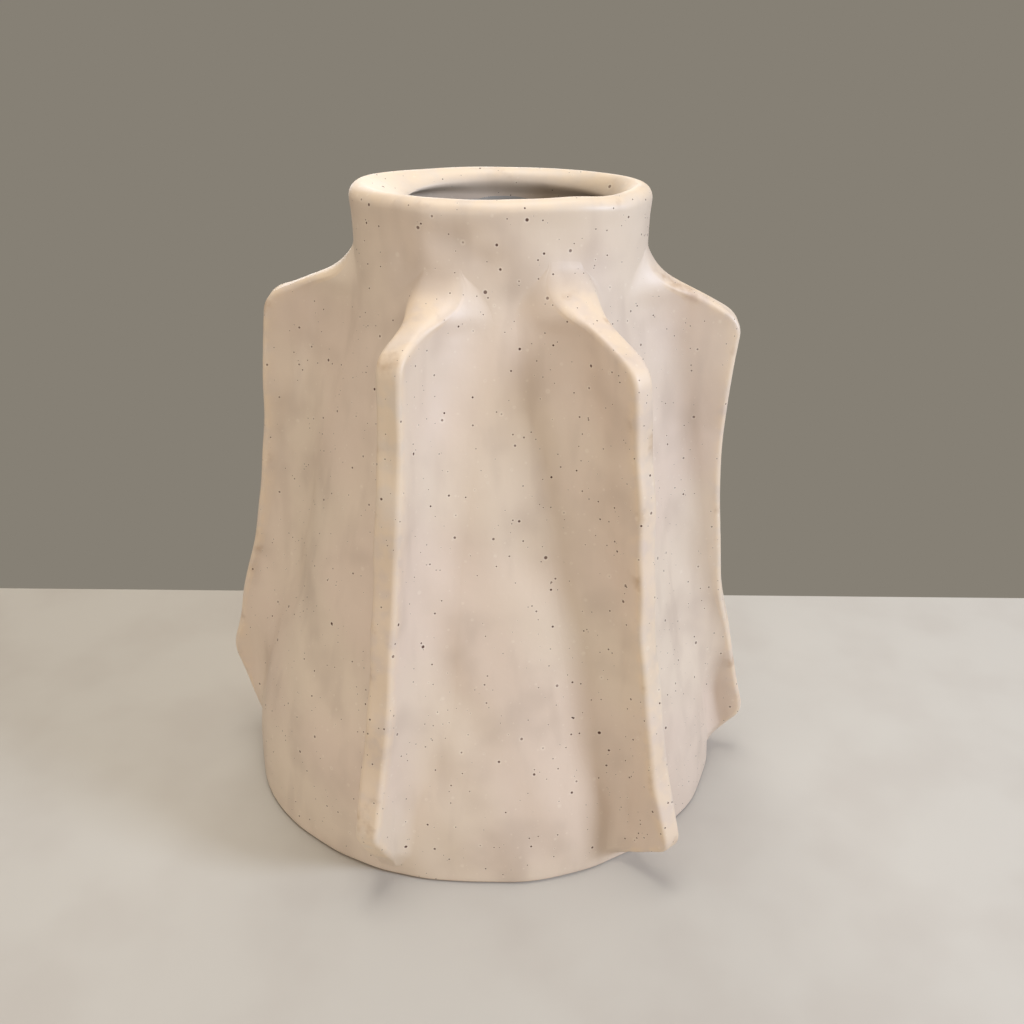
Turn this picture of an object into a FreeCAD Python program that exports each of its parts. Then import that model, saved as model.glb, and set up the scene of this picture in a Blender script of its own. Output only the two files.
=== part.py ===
"""Hand-built stoneware pillow vase: an oval slab body, a neck collar with a rolled lip, and six fins.

Millimetres. +Z is up, the vase stands on Z = 0 over the origin, and -Y is the front.
"""

import FreeCAD, Part
import Sketcher
import math
import os

doc = FreeCAD.newDocument("PillowVase")

# Driving sizes: each row is the name of a size and its value in millimetres.
SIZES = [
    ("height", 260),
    ("base_half_width", 105.5),
    ("base_half_depth", 91.5),
    ("neck_half_width", 55.2),
    ("neck_half_depth", 36.3),
    ("base_shift", -2.4),
    ("neck_shift", 4.5),
    ("wall_thickness", 6.5),
    ("base_thickness", 7),
    ("foot_round", 2),
    ("corner_coil", 8),
    ("collar_height", 33),
    ("lip_height", 9),
    ("lip_width", 9.4),
    ("lip_overhang", 0.3),
    ("edge_round", 3.2),
    ("shoulder_round", 9),
    ("tip_round", 4.5),
    ("root_round", 14),
    ("root_end_round", 5),
    ("left_thickness", 9.5),
    ("left_shoulder_reach", 34.2),
    ("left_waist_reach", 21.5),
    ("left_tip_reach", 18.6),
    ("right_thickness", 9.5),
    ("right_shoulder_reach", 35.4),
    ("right_waist_reach", 21),
    ("right_tip_reach", 17.5),
    ("front_left_thickness", 10),
    ("front_left_shoulder_reach", 34),
    ("front_left_waist_reach", 21),
    ("front_left_tip_reach", 20.5),
    ("front_right_thickness", 9),
    ("front_right_shoulder_reach", 36),
    ("front_right_waist_reach", 25),
    ("front_right_tip_reach", 25),
]

# Where each fin stands, in degrees about the vertical axis from straight ahead, positive to the right.
ANGLES = [
    ("left_angle", -93),
    ("right_angle", 87),
    ("front_left_angle", -24),
    ("front_right_angle", 39),
    ("back_right_angle", 158),
    ("back_left_angle", -141),
]

# Outline of the body, from the floor to the top of the neck: the height as a share of the whole height, then
# the half width, half depth and sideways shift, as shares of the way from the neck's to the base's.
GIRTH_SHARES = [
    (0.0, 1.0, 1.0, 1.0),
    (0.10, 0.953, 0.972, 1.0),
    (0.25, 0.763, 0.803, 0.94),
    (0.40, 0.535, 0.622, 0.79),
    (0.60, 0.308, 0.411, 0.54),
    (0.78, 0.091, 0.175, 0.215),
    (0.90, 0.002, 0.02, 0.025),
    (1.0, 0.0, 0.0, 0.0),
]

# Heights of a fin's crest, shoulder, waist, tip and underside, as shares of the whole height, for each cut.
FIN_SHARES = {
    "left": (0.890, 0.835, 0.500, 0.194, 0.042),
    "right": (0.892, 0.810, 0.462, 0.096, 0.027),
    "front_left": (0.880, 0.824, 0.485, 0.127, 0.026),
    "front_right": (0.885, 0.813, 0.473, 0.081, 0.014),
}

# Each fin's place, which names its angle, and its cut. The two at the back face the front two.
FINS = [
    ("left", "left"),
    ("right", "right"),
    ("front_left", "front_left"),
    ("front_right", "front_right"),
    ("back_right", "front_left"),
    ("back_left", "front_right"),
]
HALF_TURN, QUARTER_TURN = 180, 90

# The blend along a fin's root
BLEND_END_SHARE = 0.45      # how far up its lower slope, or down its crest, the blend stops
BLEND_REACH_SHARE = 0.75    # the most of the fin's reach that the blend takes up
BLEND_SINK_SHARE = 0.1      # how deep its edge runs into the wall, as a share of the wall's thickness
BLEND_START, BLEND_STOP = math.radians(10), math.radians(76)

CORNER_CREST_SHARE = 0.25   # thickness of the corner coil at its top, as a share of its thickness below
PICK_SLACK_SHARE = 0.01     # how far off an edge may lie and still be picked, as a share of half a fin

sheet = doc.addObject("Spreadsheet::Sheet", "Sizes")
for row, (name, value) in enumerate(SIZES + ANGLES, 1):
    sheet.set(f"A{row}", name)
    sheet.set(f"B{row}", str(value))
    sheet.setAlias(f"B{row}", name)
doc.recompute()


def size(name):
    """A driving size as a plain number."""
    return float(sheet.get(name))


def number(formula):
    """The value of a formula in the driving sizes."""
    return float(sheet.evalExpression(formula))


def bind(feature, **formulas):
    """Binds properties to formulas. Two underscores stand for the dot of a nested property."""
    for prop, formula in formulas.items():
        feature.setExpression(prop.replace("__", "."), formula)
    return feature


def between(rows, share, column):
    """A column of a table of shares at a height, on straight lines between the table's rows."""
    for low, high in zip(rows, rows[1:]):
        if share <= high[0]:
            part = (share - low[0]) / (high[0] - low[0])
            return low[column] + part * (high[column] - low[column])
    return rows[-1][column]


def girth(part, share):
    """Formula for a half width, half depth or shift, a share of the way from the neck's to the base's."""
    return f"(Sizes.neck_{part} + {share} * (Sizes.base_{part} - Sizes.neck_{part}))"


def girths(height_share):
    """Formulas for the half width, half depth and shift of the body at a share of the height."""
    return [girth(part, between(GIRTH_SHARES, height_share, column))
            for column, part in enumerate(("half_width", "half_depth", "shift"), 1)]


def wall_reach(turn, share):
    """Formula for the distance from the axis to the wall, along a turn, at a share of the height."""
    wide, deep, shift = girths(share)
    return f"1 / sqrt((sin({turn}) / {wide}) ^ 2 + (cos({turn}) / {deep}) ^ 2) + {shift} * sin({turn})"


# Forms that the pieces are cut from

def oval(name, inset, height_share, level):
    """A level oval of the body in four quarters, drawn in all round by inset."""
    wide, deep, shift = girths(height_share)
    half_width, half_depth = number(f"{wide} - ({inset})"), number(f"{deep} - ({inset})")
    ellipse = Part.Ellipse(FreeCAD.Vector(), max(half_width, half_depth), min(half_width, half_depth))
    first = 0
    if half_depth > half_width:
        ellipse.rotate(FreeCAD.Placement(FreeCAD.Vector(), FreeCAD.Rotation(QUARTER_TURN, 0, 0)))
        first = -1
    ends = [quarter * math.pi / 2 for quarter in range(first, first + 5)]
    feature = doc.addObject("Part::Feature", name)
    feature.Shape = Part.Wire([Part.ArcOfEllipse(ellipse, *pair).toShape() for pair in zip(ends, ends[1:])])
    feature.Placement.Base = FreeCAD.Vector(number(shift), 0, number(level))
    return feature


def loft(name, sections, ruled=False):
    form = doc.addObject("Part::Loft", name)
    form.Sections = sections
    form.Solid = True
    form.Ruled = ruled
    return form


def body_form(name, inset, floor):
    """The smooth form of the body, drawn in all round by inset, from floor to the top of the neck."""
    return loft(name, [
        oval(f"{name}_oval_{index}", inset, row[0], f"{row[0]} * Sizes.height" if index else floor)
        for index, row in enumerate(GIRTH_SHARES)
    ])


def drum(name, low, high, start=None):
    """An upright round block between two heights, wider than the vase. With start, half of it from there."""
    block = doc.addObject("Part::Cylinder", name)
    bind(block, Radius="2 * Sizes.base_half_width", Height=f"{high} - ({low})", Placement__Base__z=low)
    if start is not None:
        block.Angle = HALF_TURN
        bind(block, Placement__Rotation__Angle=start)
    return block


def boolean(kind, name, base, tool):
    feature = doc.addObject(f"Part::{kind}", name)
    feature.Base, feature.Tool = base, tool
    return feature


lip_seat = "Sizes.height - Sizes.lip_height"
collar_seam = f"{lip_seat} - Sizes.collar_height"

outer_form = body_form("outer_form", "0", "0")
cavity_form = body_form("cavity_form", "Sizes.wall_thickness", "Sizes.base_thickness")
shell_form = boolean("Cut", "shell_form", outer_form, cavity_form)


# Base, walls and neck

def base_slab():
    """The floor of the vase: a slab with its lower edge rounded over."""
    disc = boolean("Common", "base_disc", outer_form, drum("base_drum", "0", "Sizes.base_thickness"))
    doc.recompute()
    slab = doc.addObject("Part::Fillet", "base_slab")
    slab.Base = disc
    radius = size("foot_round")
    slab.Edges = [(index, radius, radius) for index, edge in enumerate(disc.Shape.Edges, 1)
                  if edge.BoundBox.ZMax < size("base_thickness") / 2]
    return slab


def base_corner_coil():
    """The coil of clay pressed into the corner between walls and base, sloped off towards the middle."""
    top = "Sizes.base_thickness + Sizes.corner_coil"
    ring = boolean("Common", "corner_ring", cavity_form, drum("corner_drum", "Sizes.base_thickness", top))
    insets = [f"Sizes.wall_thickness + {share} * Sizes.corner_coil" for share in (1, CORNER_CREST_SHARE)]
    scoop = loft("corner_scoop", [
        oval("corner_oval_low", insets[0], 0, "Sizes.base_thickness"),
        oval("corner_oval_high", insets[1], 0, top),
    ], ruled=True)
    return boolean("Cut", "base_corner_coil", ring, scoop)


def wall(name, start):
    """Half of the body wall, from the base up to the collar. Its side seams run under the two side fins."""
    half = drum(f"{name}_half", "Sizes.base_thickness", collar_seam, start)
    return boolean("Common", name, shell_form, half)


def neck_collar():
    return boolean("Common", "neck_collar", shell_form, drum("collar_drum", collar_seam, lip_seat))


def lip_coil():
    """The rolled rim: a flat-footed coil with a round crown, swept round the mouth."""
    half, shoulder, crown = size("lip_width") / 2, size("lip_height") / 2, size("lip_height")
    middle = size("neck_half_width") + size("lip_overhang") - half
    foot_in, side_in, top, side_out, foot_out = [
        FreeCAD.Vector(middle + x, 0, size("height") - size("lip_height") + z)
        for x, z in ((-half, 0), (-half, shoulder), (0, crown), (half, shoulder), (half, 0))
    ]
    profile = doc.addObject("Part::Feature", "lip_profile")
    profile.Shape = Part.Wire([
        Part.makeLine(foot_out, foot_in),
        Part.makeLine(foot_in, side_in),
        Part.Arc(side_in, top, side_out).toShape(),
        Part.makeLine(side_out, foot_out),
    ])
    bind(profile, Placement__Base__x="Sizes.neck_shift")
    inset = "Sizes.lip_width / 2 - Sizes.lip_overhang"
    coil = doc.addObject("Part::Sweep", "lip_coil")
    coil.Sections = [profile]
    path = oval("lip_path", inset, 1, lip_seat)
    coil.Spine = (path, [f"Edge{edge}" for edge in range(1, len(path.Shape.Edges) + 1)])
    coil.Solid = True
    coil.Frenet = True
    return coil


# Fins

def outline(body, name, corners, waist):
    """The side outline of a fin through its corners, as reaches from the axis and shares of the height.

    Every edge is straight but the second, from the shoulder to the tip, which is an arc through the waist.
    """
    sketch = body.newObject("Sketcher::SketchObject", name)
    plane = next(item for item in body.Origin.OriginFeatures if item.Role == "XZ_Plane")
    sketch.AttachmentSupport = [(plane, "")]
    sketch.MapMode = "FlatFace"
    spots = [(reach, f"{share} * Sizes.height") for reach, share in corners + [waist]]
    points = [FreeCAD.Vector(number(reach), number(level), 0) for reach, level in spots]
    count = len(corners)
    for index in range(count):
        start, end = points[index], points[(index + 1) % count]
        line = Part.LineSegment(start, end)
        sketch.addGeometry(Part.Arc(start, points[count], end) if index == 1 else line)
    sketch.addGeometry(Part.Point(points[count]), True)
    for index in range(count):
        sketch.addConstraint(Sketcher.Constraint("Coincident", index, 2, (index + 1) % count, 1))
    sketch.addConstraint(Sketcher.Constraint("PointOnObject", count, 1, 1))
    for index, (spot, point) in enumerate(zip(spots, points)):
        for kind, formula, value in (("DistanceX", spot[0], point.x), ("DistanceY", spot[1], point.y)):
            constraint = sketch.addConstraint(Sketcher.Constraint(kind, -1, 1, index, 1, value))
            sketch.setExpression(f"Constraints[{constraint}]", formula)
    return sketch, points


def rounded(body, name, base, edges, radius):
    """Rounds the edges of a feature that the test picks out."""
    fillet = body.newObject("PartDesign::Fillet", name)
    fillet.Base = (base, [f"Edge{index}" for index, edge in enumerate(base.Shape.Edges, 1) if edges(edge)])
    bind(fillet, Radius=f"Sizes.{radius}")
    doc.recompute()
    return fillet


def blade(name, cut, turn):
    """The slab of a fin: its side outline padded to its thickness, with its outer edges rounded."""
    crest, shoulder, waist, tip, under = FIN_SHARES[cut]
    sunk = "Sizes.wall_thickness / 2"
    inner = "Sizes.neck_half_depth / 2"
    body = doc.addObject("PartDesign::Body", f"{name}_blade")
    bind(body, Placement__Rotation__Angle=f"{turn} - {QUARTER_TURN}")
    sketch, points = outline(body, f"{name}_outline", [
        (f"{wall_reach(turn, crest)} - {sunk}", crest),
        (f"{wall_reach(turn, shoulder)} + Sizes.{cut}_shoulder_reach", shoulder),
        (f"{wall_reach(turn, tip)} + Sizes.{cut}_tip_reach", tip),
        (f"{wall_reach(turn, under)} - {sunk}", under),
        (inner, under),
        (inner, crest),
    ], (f"{wall_reach(turn, waist)} + Sizes.{cut}_waist_reach", waist))
    pad = body.newObject("PartDesign::Pad", f"{name}_pad")
    pad.Profile = sketch
    pad.SideType = "Symmetric"
    bind(pad, Length=f"Sizes.{cut}_thickness")
    doc.recompute()
    side = size(f"{cut}_thickness") / 2
    slack = side * PICK_SLACK_SHARE

    def runs_across_at(point):
        spot = FreeCAD.Vector(point.x, 0, point.y)
        return lambda edge: edge.CenterOfMass.distanceToPoint(spot) < slack

    def borders_a_side(edge):
        box = edge.BoundBox
        return abs(abs(edge.CenterOfMass.y) - side) < slack and min(box.XLength, box.ZLength) > slack

    shoulder_fillet = rounded(body, f"{name}_shoulder", pad, runs_across_at(points[1]), "shoulder_round")
    tip_fillet = rounded(body, f"{name}_tip", shoulder_fillet, runs_across_at(points[2]), "tip_round")
    body.Tip = rounded(body, f"{name}_rim", tip_fillet, borders_a_side, "edge_round")
    return body


def oval_reach(share, turn, offset):
    """Distance out along a turn to the body's oval at a height, on a line set off sideways."""
    wide, deep, shift = [number(formula) for formula in girths(share)]
    sine, cosine = math.sin(math.radians(turn)), math.cos(math.radians(turn))
    across, back = offset * cosine - shift, offset * sine
    a = (sine / wide) ** 2 + (cosine / deep) ** 2
    b = 2 * (sine * across / wide ** 2 - cosine * back / deep ** 2)
    c = (across / wide) ** 2 + (back / deep) ** 2 - 1
    return (math.sqrt(b ** 2 - 4 * a * c) - b) / (2 * a)


def blend_section(share, turn, thickness, radius):
    """A level section of the blend: two hollow curves that run from the fin's sides out to the wall.

    Each is close to an arc. It starts just under the fin's side and ends just under the wall's face.
    """
    level = share * size("height")
    handle = radius * math.tan(BLEND_STOP / 4) * 4 / 3
    foot = thickness / 2 + radius * (math.cos(BLEND_START) - math.cos(BLEND_STOP))
    centre = thickness / 2 + radius * math.cos(BLEND_START)
    sink = BLEND_SINK_SHARE * size("wall_thickness")
    feet = [oval_reach(share, turn, hand * foot) - sink for hand in (-1, 1)]
    back = min(feet) - size("wall_thickness") / 2
    starts, ends, backs, curves = [], [], [], []
    for hand, foot_reach in zip((-1, 1), feet):
        start = FreeCAD.Vector(foot_reach + radius * math.sin(BLEND_STOP), hand * (centre - radius), level)
        end = FreeCAD.Vector(foot_reach, hand * foot, level)
        along = FreeCAD.Vector(math.cos(BLEND_STOP), -hand * math.sin(BLEND_STOP), 0)
        curve = Part.BezierCurve()
        curve.setPoles([start, start - FreeCAD.Vector(handle, 0, 0), end + along * handle, end])
        curves.append(curve.toShape())
        starts.append(start)
        ends.append(end)
        backs.append(FreeCAD.Vector(back, end.y, level))
    return Part.Wire([
        curves[0],
        Part.makeLine(starts[0], starts[1]),
        curves[1],
        Part.makeLine(ends[1], backs[1]),
        Part.makeLine(backs[1], backs[0]),
        Part.makeLine(backs[0], ends[0]),
    ])


def root_blend(name, cut, turn):
    """The soft hollow blend of a fin into the wall, lofted through sections level with the body's ovals."""
    crest, shoulder, waist, tip, under = FIN_SHARES[cut]
    low = under + BLEND_END_SHARE * (tip - under)
    high = crest - BLEND_END_SHARE * (crest - shoulder)
    reaches = [(tip, size(f"{cut}_tip_reach")), (waist, size(f"{cut}_waist_reach")),
               (shoulder, size(f"{cut}_shoulder_reach"))]
    margin = (high - low) / len(GIRTH_SHARES) / 2
    middles = [row[0] for row in GIRTH_SHARES if low + margin < row[0] < high - margin]
    sections = []
    for index, share in enumerate([low, *middles, high]):
        most = BLEND_REACH_SHARE * between(reaches, share, 1)
        radius = min(size("root_round") if share in middles else size("root_end_round"), most)
        section = doc.addObject("Part::Feature", f"{name}_section_{index}")
        section.Shape = blend_section(share, turn, size(f"{cut}_thickness"), radius)
        section.Placement.Rotation = FreeCAD.Rotation(FreeCAD.Vector(0, 0, 1), turn - QUARTER_TURN)
        sections.append(section)
    return loft(f"{name}_blend", sections)


def fin(name, place, cut):
    """A fin: its slab and root blend, fitted to the outside of the body."""
    slab = blade(name, cut, f"Sizes.{place}_angle")
    blend = root_blend(name, cut, size(f"{place}_angle"))
    whole = boolean("Fuse", f"{name}_whole", slab, blend)
    return boolean("Cut", name, whole, outer_form)


pieces = {
    "base_slab": base_slab(),
    "base_corner_coil": base_corner_coil(),
    "front_wall": wall("front_wall", f"Sizes.right_angle + {QUARTER_TURN}"),
    "back_wall": wall("back_wall", f"Sizes.right_angle - {QUARTER_TURN}"),
    "neck_collar": neck_collar(),
    "lip_coil": lip_coil(),
}
for place, cut in FINS:
    pieces[f"fin_{place}"] = fin(f"fin_{place}", place, cut)
doc.recompute()

# Checks, then one file for each piece

for item in doc.Objects:
    if "Invalid" in item.State or "Error" in item.State:
        raise RuntimeError(f"{item.Name} failed: {item.State}")
for name, piece in pieces.items():
    piece.Label = name
    if piece.Shape.isNull() or not piece.Shape.isValid() or len(piece.Shape.Solids) != 1:
        raise RuntimeError(f"{name} isn't one sound solid")
os.makedirs("parts", exist_ok=True)
for name, piece in pieces.items():
    piece.Shape.exportStep(f"parts/{name}.step")
    print(name, round(piece.Shape.Volume), "mm3")
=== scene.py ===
"""Looks of a hand-built stoneware pillow vase: an oval body with a thick rolled lip and upright fins.

Sizes of the vase are in millimetres until a mesh is made, and those of the studio are in metres. +Z is
up, the vase stands on Z = 0 and -Y is the front.
"""

import logging
import math
from dataclasses import dataclass
from enum import Enum

import bmesh
import bpy
import numpy as np
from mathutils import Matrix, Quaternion, Vector


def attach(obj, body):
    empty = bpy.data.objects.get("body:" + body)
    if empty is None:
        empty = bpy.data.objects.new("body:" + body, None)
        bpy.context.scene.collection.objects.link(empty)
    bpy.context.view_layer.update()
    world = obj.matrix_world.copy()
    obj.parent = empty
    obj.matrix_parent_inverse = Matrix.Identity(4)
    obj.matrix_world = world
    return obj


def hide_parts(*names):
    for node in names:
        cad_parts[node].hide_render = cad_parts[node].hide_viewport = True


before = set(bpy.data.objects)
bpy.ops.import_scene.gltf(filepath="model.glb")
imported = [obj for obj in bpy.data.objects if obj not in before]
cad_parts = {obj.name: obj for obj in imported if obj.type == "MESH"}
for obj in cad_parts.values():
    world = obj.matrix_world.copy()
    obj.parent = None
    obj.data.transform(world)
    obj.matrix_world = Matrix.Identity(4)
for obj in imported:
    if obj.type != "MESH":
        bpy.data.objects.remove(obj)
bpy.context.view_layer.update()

METRES = 0.001              # metres in a millimetre
ROOT = "root"
SHARP_ANGLE = math.radians(60.0)    # faces that meet at more than this keep a crisp edge
EDGE_ATTRIBUTE = "edge"     # how near a point is to a thin edge, where the glaze breaks over the clay
WHOLE_TURN = (0, 2)         # from the left seam of the body round to itself, in half turns
Array = np.ndarray
Pair = tuple[float, float]
Triple = tuple[float, float, float]
Tint = tuple[int, int, int]

log = logging.getLogger("pillow_vase")


def smooth_step(value: Array, low: float, high: float) -> Array:
    """Rises from 0 at low to 1 at high as 3t^2 - 2t^3, where t is the share of the way."""
    t = np.clip((value - low) / (high - low), 0.0, 1.0)
    return t * t * (3.0 - 2.0 * t)


def unit(vectors: Array) -> Array:
    """Scales each vector along the last axis to a length of 1."""
    return vectors / np.linalg.norm(vectors, axis=-1, keepdims=True)


def quads(numbers: Array) -> Array:
    """The corners of the quads between each pair of rows and columns of a grid of point numbers."""
    corners = (numbers[:-1, :-1], numbers[:-1, 1:], numbers[1:, 1:], numbers[1:, :-1])
    return np.stack([corner.reshape(-1) for corner in corners], axis=1)


def natural_spline(knots: Array, heights: Array, at: Array) -> Array:
    """The natural cubic spline through the knots: cubics that meet with equal slope and curvature.

    Args:
        knots: rising places of the knots.
        heights: the value at each knot.
        at: where to read the spline.

    Returns:
        The spline's values at those places.
    """
    gaps = np.diff(knots)
    slopes = np.diff(heights) / gaps
    count = len(knots)
    system = np.eye(count)
    inner = np.arange(1, count - 1)
    system[inner, inner - 1] = gaps[:-1]
    system[inner, inner] = 2.0 * (gaps[:-1] + gaps[1:])
    system[inner, inner + 1] = gaps[1:]
    bends = np.zeros(count)
    bends[1:-1] = 6.0 * np.diff(slopes)
    bends = np.linalg.solve(system, bends)
    span = np.clip(np.searchsorted(knots, at) - 1, 0, count - 2)
    gap, low, high = gaps[span], at - knots[span], knots[span + 1] - at
    return (
        (bends[span] * high ** 3 + bends[span + 1] * low ** 3) / (6.0 * gap)
        + (heights[span] / gap - bends[span] * gap / 6.0) * high
        + (heights[span + 1] / gap - bends[span + 1] * gap / 6.0) * low
    )


def running_mean(values: Array, along: Array, half_window: Array) -> Array:
    """Each value becomes the mean of the line from half a window before it to half a window after it.

    A corner between two straight runs turns into a parabola that joins them half a window away.

    Args:
        values: one row for each place.
        along: how far along the line each place is, rising.
        half_window: half the window at each place.

    Returns:
        The smoothed rows.
    """
    half = np.minimum(half_window, np.minimum(along - along[0], along[-1] - along))
    areas = np.diff(along)[:, None] * (values[1:] + values[:-1]) / 2.0
    total = np.vstack([np.zeros(values.shape[1]), np.cumsum(areas, axis=0)])
    wide = half > 1e-6
    safe = np.where(wide, half, 1.0)
    ends = [[np.interp(along + way * half, along, column) for way in (1, -1)] for column in total.T]
    means = [(after - before) / (2.0 * safe) for after, before in ends]
    return np.where(wide[:, None], np.stack(means, axis=1), values)


def arc_through(start: Array, middle: Array, end: Array, count: int) -> Array:
    """Points along the circular arc from start to end that passes through middle.

    The centre c is as far from all three: 2(middle - start).c = middle.middle - start.start, and the same
    for the end.

    Args:
        start: first point, as a reach and a level.
        middle: a point on the arc between the ends.
        end: last point.
        count: how many points.

    Returns:
        The points, evenly spaced along the arc.
    """
    rows = 2.0 * np.array([middle - start, end - start])
    centre = np.linalg.solve(rows, [middle @ middle - start @ start, end @ end - start @ start])
    turns = np.unwrap([math.atan2(*(point - centre)[::-1]) for point in (start, middle, end)])
    spread = np.linspace(turns[0], turns[2], count)
    radius = np.linalg.norm(start - centre)
    return centre + radius * np.stack([np.cos(spread), np.sin(spread)], axis=1)


@dataclass(frozen=True)
class Dent:
    """A press of a finger: a soft hollow, or a swelling where its depth is negative."""

    centre: Triple
    spread: Triple
    depth: float


@dataclass(frozen=True)
class Handwork:
    """The unevenness that hands leave in clay, as one smooth field of small shifts.

    Every piece takes its shifts from the same field, so the joints between pieces stay closed.
    """

    half_width: float
    half_depth: float
    height: float
    broad_shift: float = 0.55
    broad_length: float = 70.0
    fine_shift: float = 0.19
    fine_length: float = 24.0
    wave_count: int = 22
    length_range: Pair = (0.7, 1.5)
    margin: float = 9.0
    lip_drop: float = 0.65
    lip_start: float = 234.0
    mouth_half_width: float = 55.0
    mouth_half_depth: float = 36.0
    lip_waves: tuple[Triple, ...] = ((2.0, 0.16, -1.9), (3.0, 0.14, 0.5))
    seed: int = 11
    dents: tuple[Dent, ...] = ()
    rim_presses: tuple[tuple[float, float, float, float], ...] = (
        (30.0, -29.0, 9.0, -0.35),
        (43.0, -23.0, 10.0, 0.6),
        (-8.0, -36.0, 17.0, 0.6),
        (-34.0, 28.0, 15.0, 0.6),
    )

    def waves(self, points: Array, shift: float, length: float, seed: int) -> Array:
        """A sum of plane waves in random directions: shift * sqrt(2 / n) * sum of sin(k.p + phase).

        Args:
            points: places, one row each.
            shift: root mean square of the shift along each axis.
            length: middle wavelength.
            seed: starts the random draws.

        Returns:
            A shift for each place.
        """
        draw = np.random.default_rng(seed)
        heading = unit(draw.normal(size=(self.wave_count, 3)))
        lengths = length * draw.uniform(*self.length_range, self.wave_count)
        heading *= (2.0 * np.pi / lengths)[:, None]
        phase = draw.uniform(0.0, 2.0 * np.pi, (3, self.wave_count))
        turned = points @ heading.T
        scale = shift * math.sqrt(2.0 / self.wave_count)
        return np.stack([scale * np.sin(turned + one).sum(axis=1) for one in phase], axis=1)

    def lip_wave(self, points: Array) -> Array:
        """How far the rim lies below its highest point: slow waves round the mouth, and a few presses.

        A wave is a count round the mouth, a height and a phase. A press is a place across and away, a
        spread and a depth.

        Args:
            points: places, one row each.

        Returns:
            The drop at each place.
        """
        turn = np.arctan2(points[:, 0] / self.mouth_half_width, -points[:, 1] / self.mouth_half_depth)
        drop = np.full(len(points), self.lip_drop)
        for count, height, phase in self.lip_waves:
            drop -= height * np.cos(count * turn + phase)
        for across, away, spread, depth in self.rim_presses:
            gap = (points[:, 0] - across) ** 2 + (points[:, 1] - away) ** 2
            drop += depth * np.exp(-gap / spread ** 2)
        return drop

    def shifted(self, points: Array) -> Array:
        """Moves points by the field.

        Args:
            points: places, one row each.

        Returns:
            The moved places.
        """
        shift = self.waves(points, self.broad_shift, self.broad_length, self.seed)
        shift += self.waves(points, self.fine_shift, self.fine_length, self.seed + 1)
        inside = smooth_step(self.half_width - np.abs(points[:, 0]), 0.0, self.margin)
        inside *= smooth_step(self.half_depth - np.abs(points[:, 1]), 0.0, self.margin)
        shift *= inside[:, None]
        level = points[:, 2]
        shift[:, 2] *= smooth_step(level, 0.0, 3.0 * self.margin)
        shift[:, 2] *= smooth_step(self.height - level, 0.0, self.margin)
        shift[:, 2] -= self.lip_wave(points) * smooth_step(level, self.lip_start, self.height)
        for dent in self.dents:
            away = (points - np.array(dent.centre)) / np.array(dent.spread)
            press = dent.depth * np.exp(-np.sum(away ** 2, axis=1))
            from_axis = np.linalg.norm(points[:, :2], axis=1, keepdims=True)
            shift[:, :2] -= points[:, :2] / np.maximum(from_axis, 1.0) * press[:, None]
        return points + shift


@dataclass(frozen=True)
class BodyForm:
    """The smooth oval form that the walls, the neck and the foot of the fins follow."""

    height: float = 260.0
    base_half_width: float = 105.5
    base_half_depth: float = 91.5
    neck_half_width: float = 55.2
    neck_half_depth: float = 36.3
    base_shift: float = -2.4
    neck_shift: float = 4.5
    girth_shares: tuple[tuple[float, float, float, float], ...] = (
        (0.0, 1.0, 1.0, 1.0),
        (0.10, 0.953, 0.972, 1.0),
        (0.25, 0.763, 0.803, 0.94),
        (0.40, 0.535, 0.622, 0.79),
        (0.60, 0.308, 0.411, 0.54),
        (0.78, 0.091, 0.175, 0.215),
        (0.90, 0.002, 0.02, 0.025),
        (1.0, 0.0, 0.0, 0.0),
    )

    def girth(self, level: Array) -> tuple[Array, Array, Array]:
        """Half width, half depth and sideways shift: a spline of shares between the neck and the base.

        Args:
            level: heights above the floor.

        Returns:
            The three as arrays of the level's shape.
        """
        table = np.array(self.girth_shares)
        at = np.clip(np.asarray(level, float) / self.height, 0.0, 1.0)
        shares = [natural_spline(table[:, 0], table[:, column], at) for column in (1, 2, 3)]
        ends = (
            (self.neck_half_width, self.base_half_width),
            (self.neck_half_depth, self.base_half_depth),
            (self.neck_shift, self.base_shift),
        )
        wide, deep, shift = [neck + share * (base - neck) for share, (neck, base) in zip(shares, ends)]
        return wide, deep, shift

    def wall(self, turn: Array, level: Array, inset: Array | float = 0.0) -> Array:
        """Points of the wall: (shift + wide sin turn, -deep cos turn, level), drawn in by inset.

        Args:
            turn: places round the oval, in radians from the front, growing to the right.
            level: heights, of the same shape.
            inset: how far in from the outside.

        Returns:
            The points, with one more axis than the turns.
        """
        wide, deep, shift = self.girth(level)
        across = shift + (wide - inset) * np.sin(turn)
        return np.stack([across, (inset - deep) * np.cos(turn), level + 0.0 * turn], axis=-1)

    def reach(self, level: Array, angle: float, offset: Array | float = 0.0) -> Array:
        """How far out the wall lies along a heading, on a line set off sideways from the axis.

        It is the larger root of (x / wide)^2 + (y / deep)^2 = 1 along that line.

        Args:
            level: heights.
            angle: the heading, in radians from the front.
            offset: how far the line is set off to the side.

        Returns:
            The distance for each height.
        """
        wide, deep, shift = self.girth(level)
        sine, cosine = math.sin(angle), math.cos(angle)
        across, back = offset * cosine - shift, offset * sine
        a = (sine / wide) ** 2 + (cosine / deep) ** 2
        b = 2.0 * (sine * across / wide ** 2 - cosine * back / deep ** 2)
        c = (across / wide) ** 2 + (back / deep) ** 2 - 1.0
        return (np.sqrt(b ** 2 - 4.0 * a * c) - b) / (2.0 * a)


class Finish(Enum):
    """Which finish a face has, in the order of a piece's material slots."""

    OUTER_GLAZE = 0
    # Inside faces: their glaze is darkened as painted shade for the hollow inside of the vase.
    INNER_GLAZE_WITH_PAINTED_SHADE = 1


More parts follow.
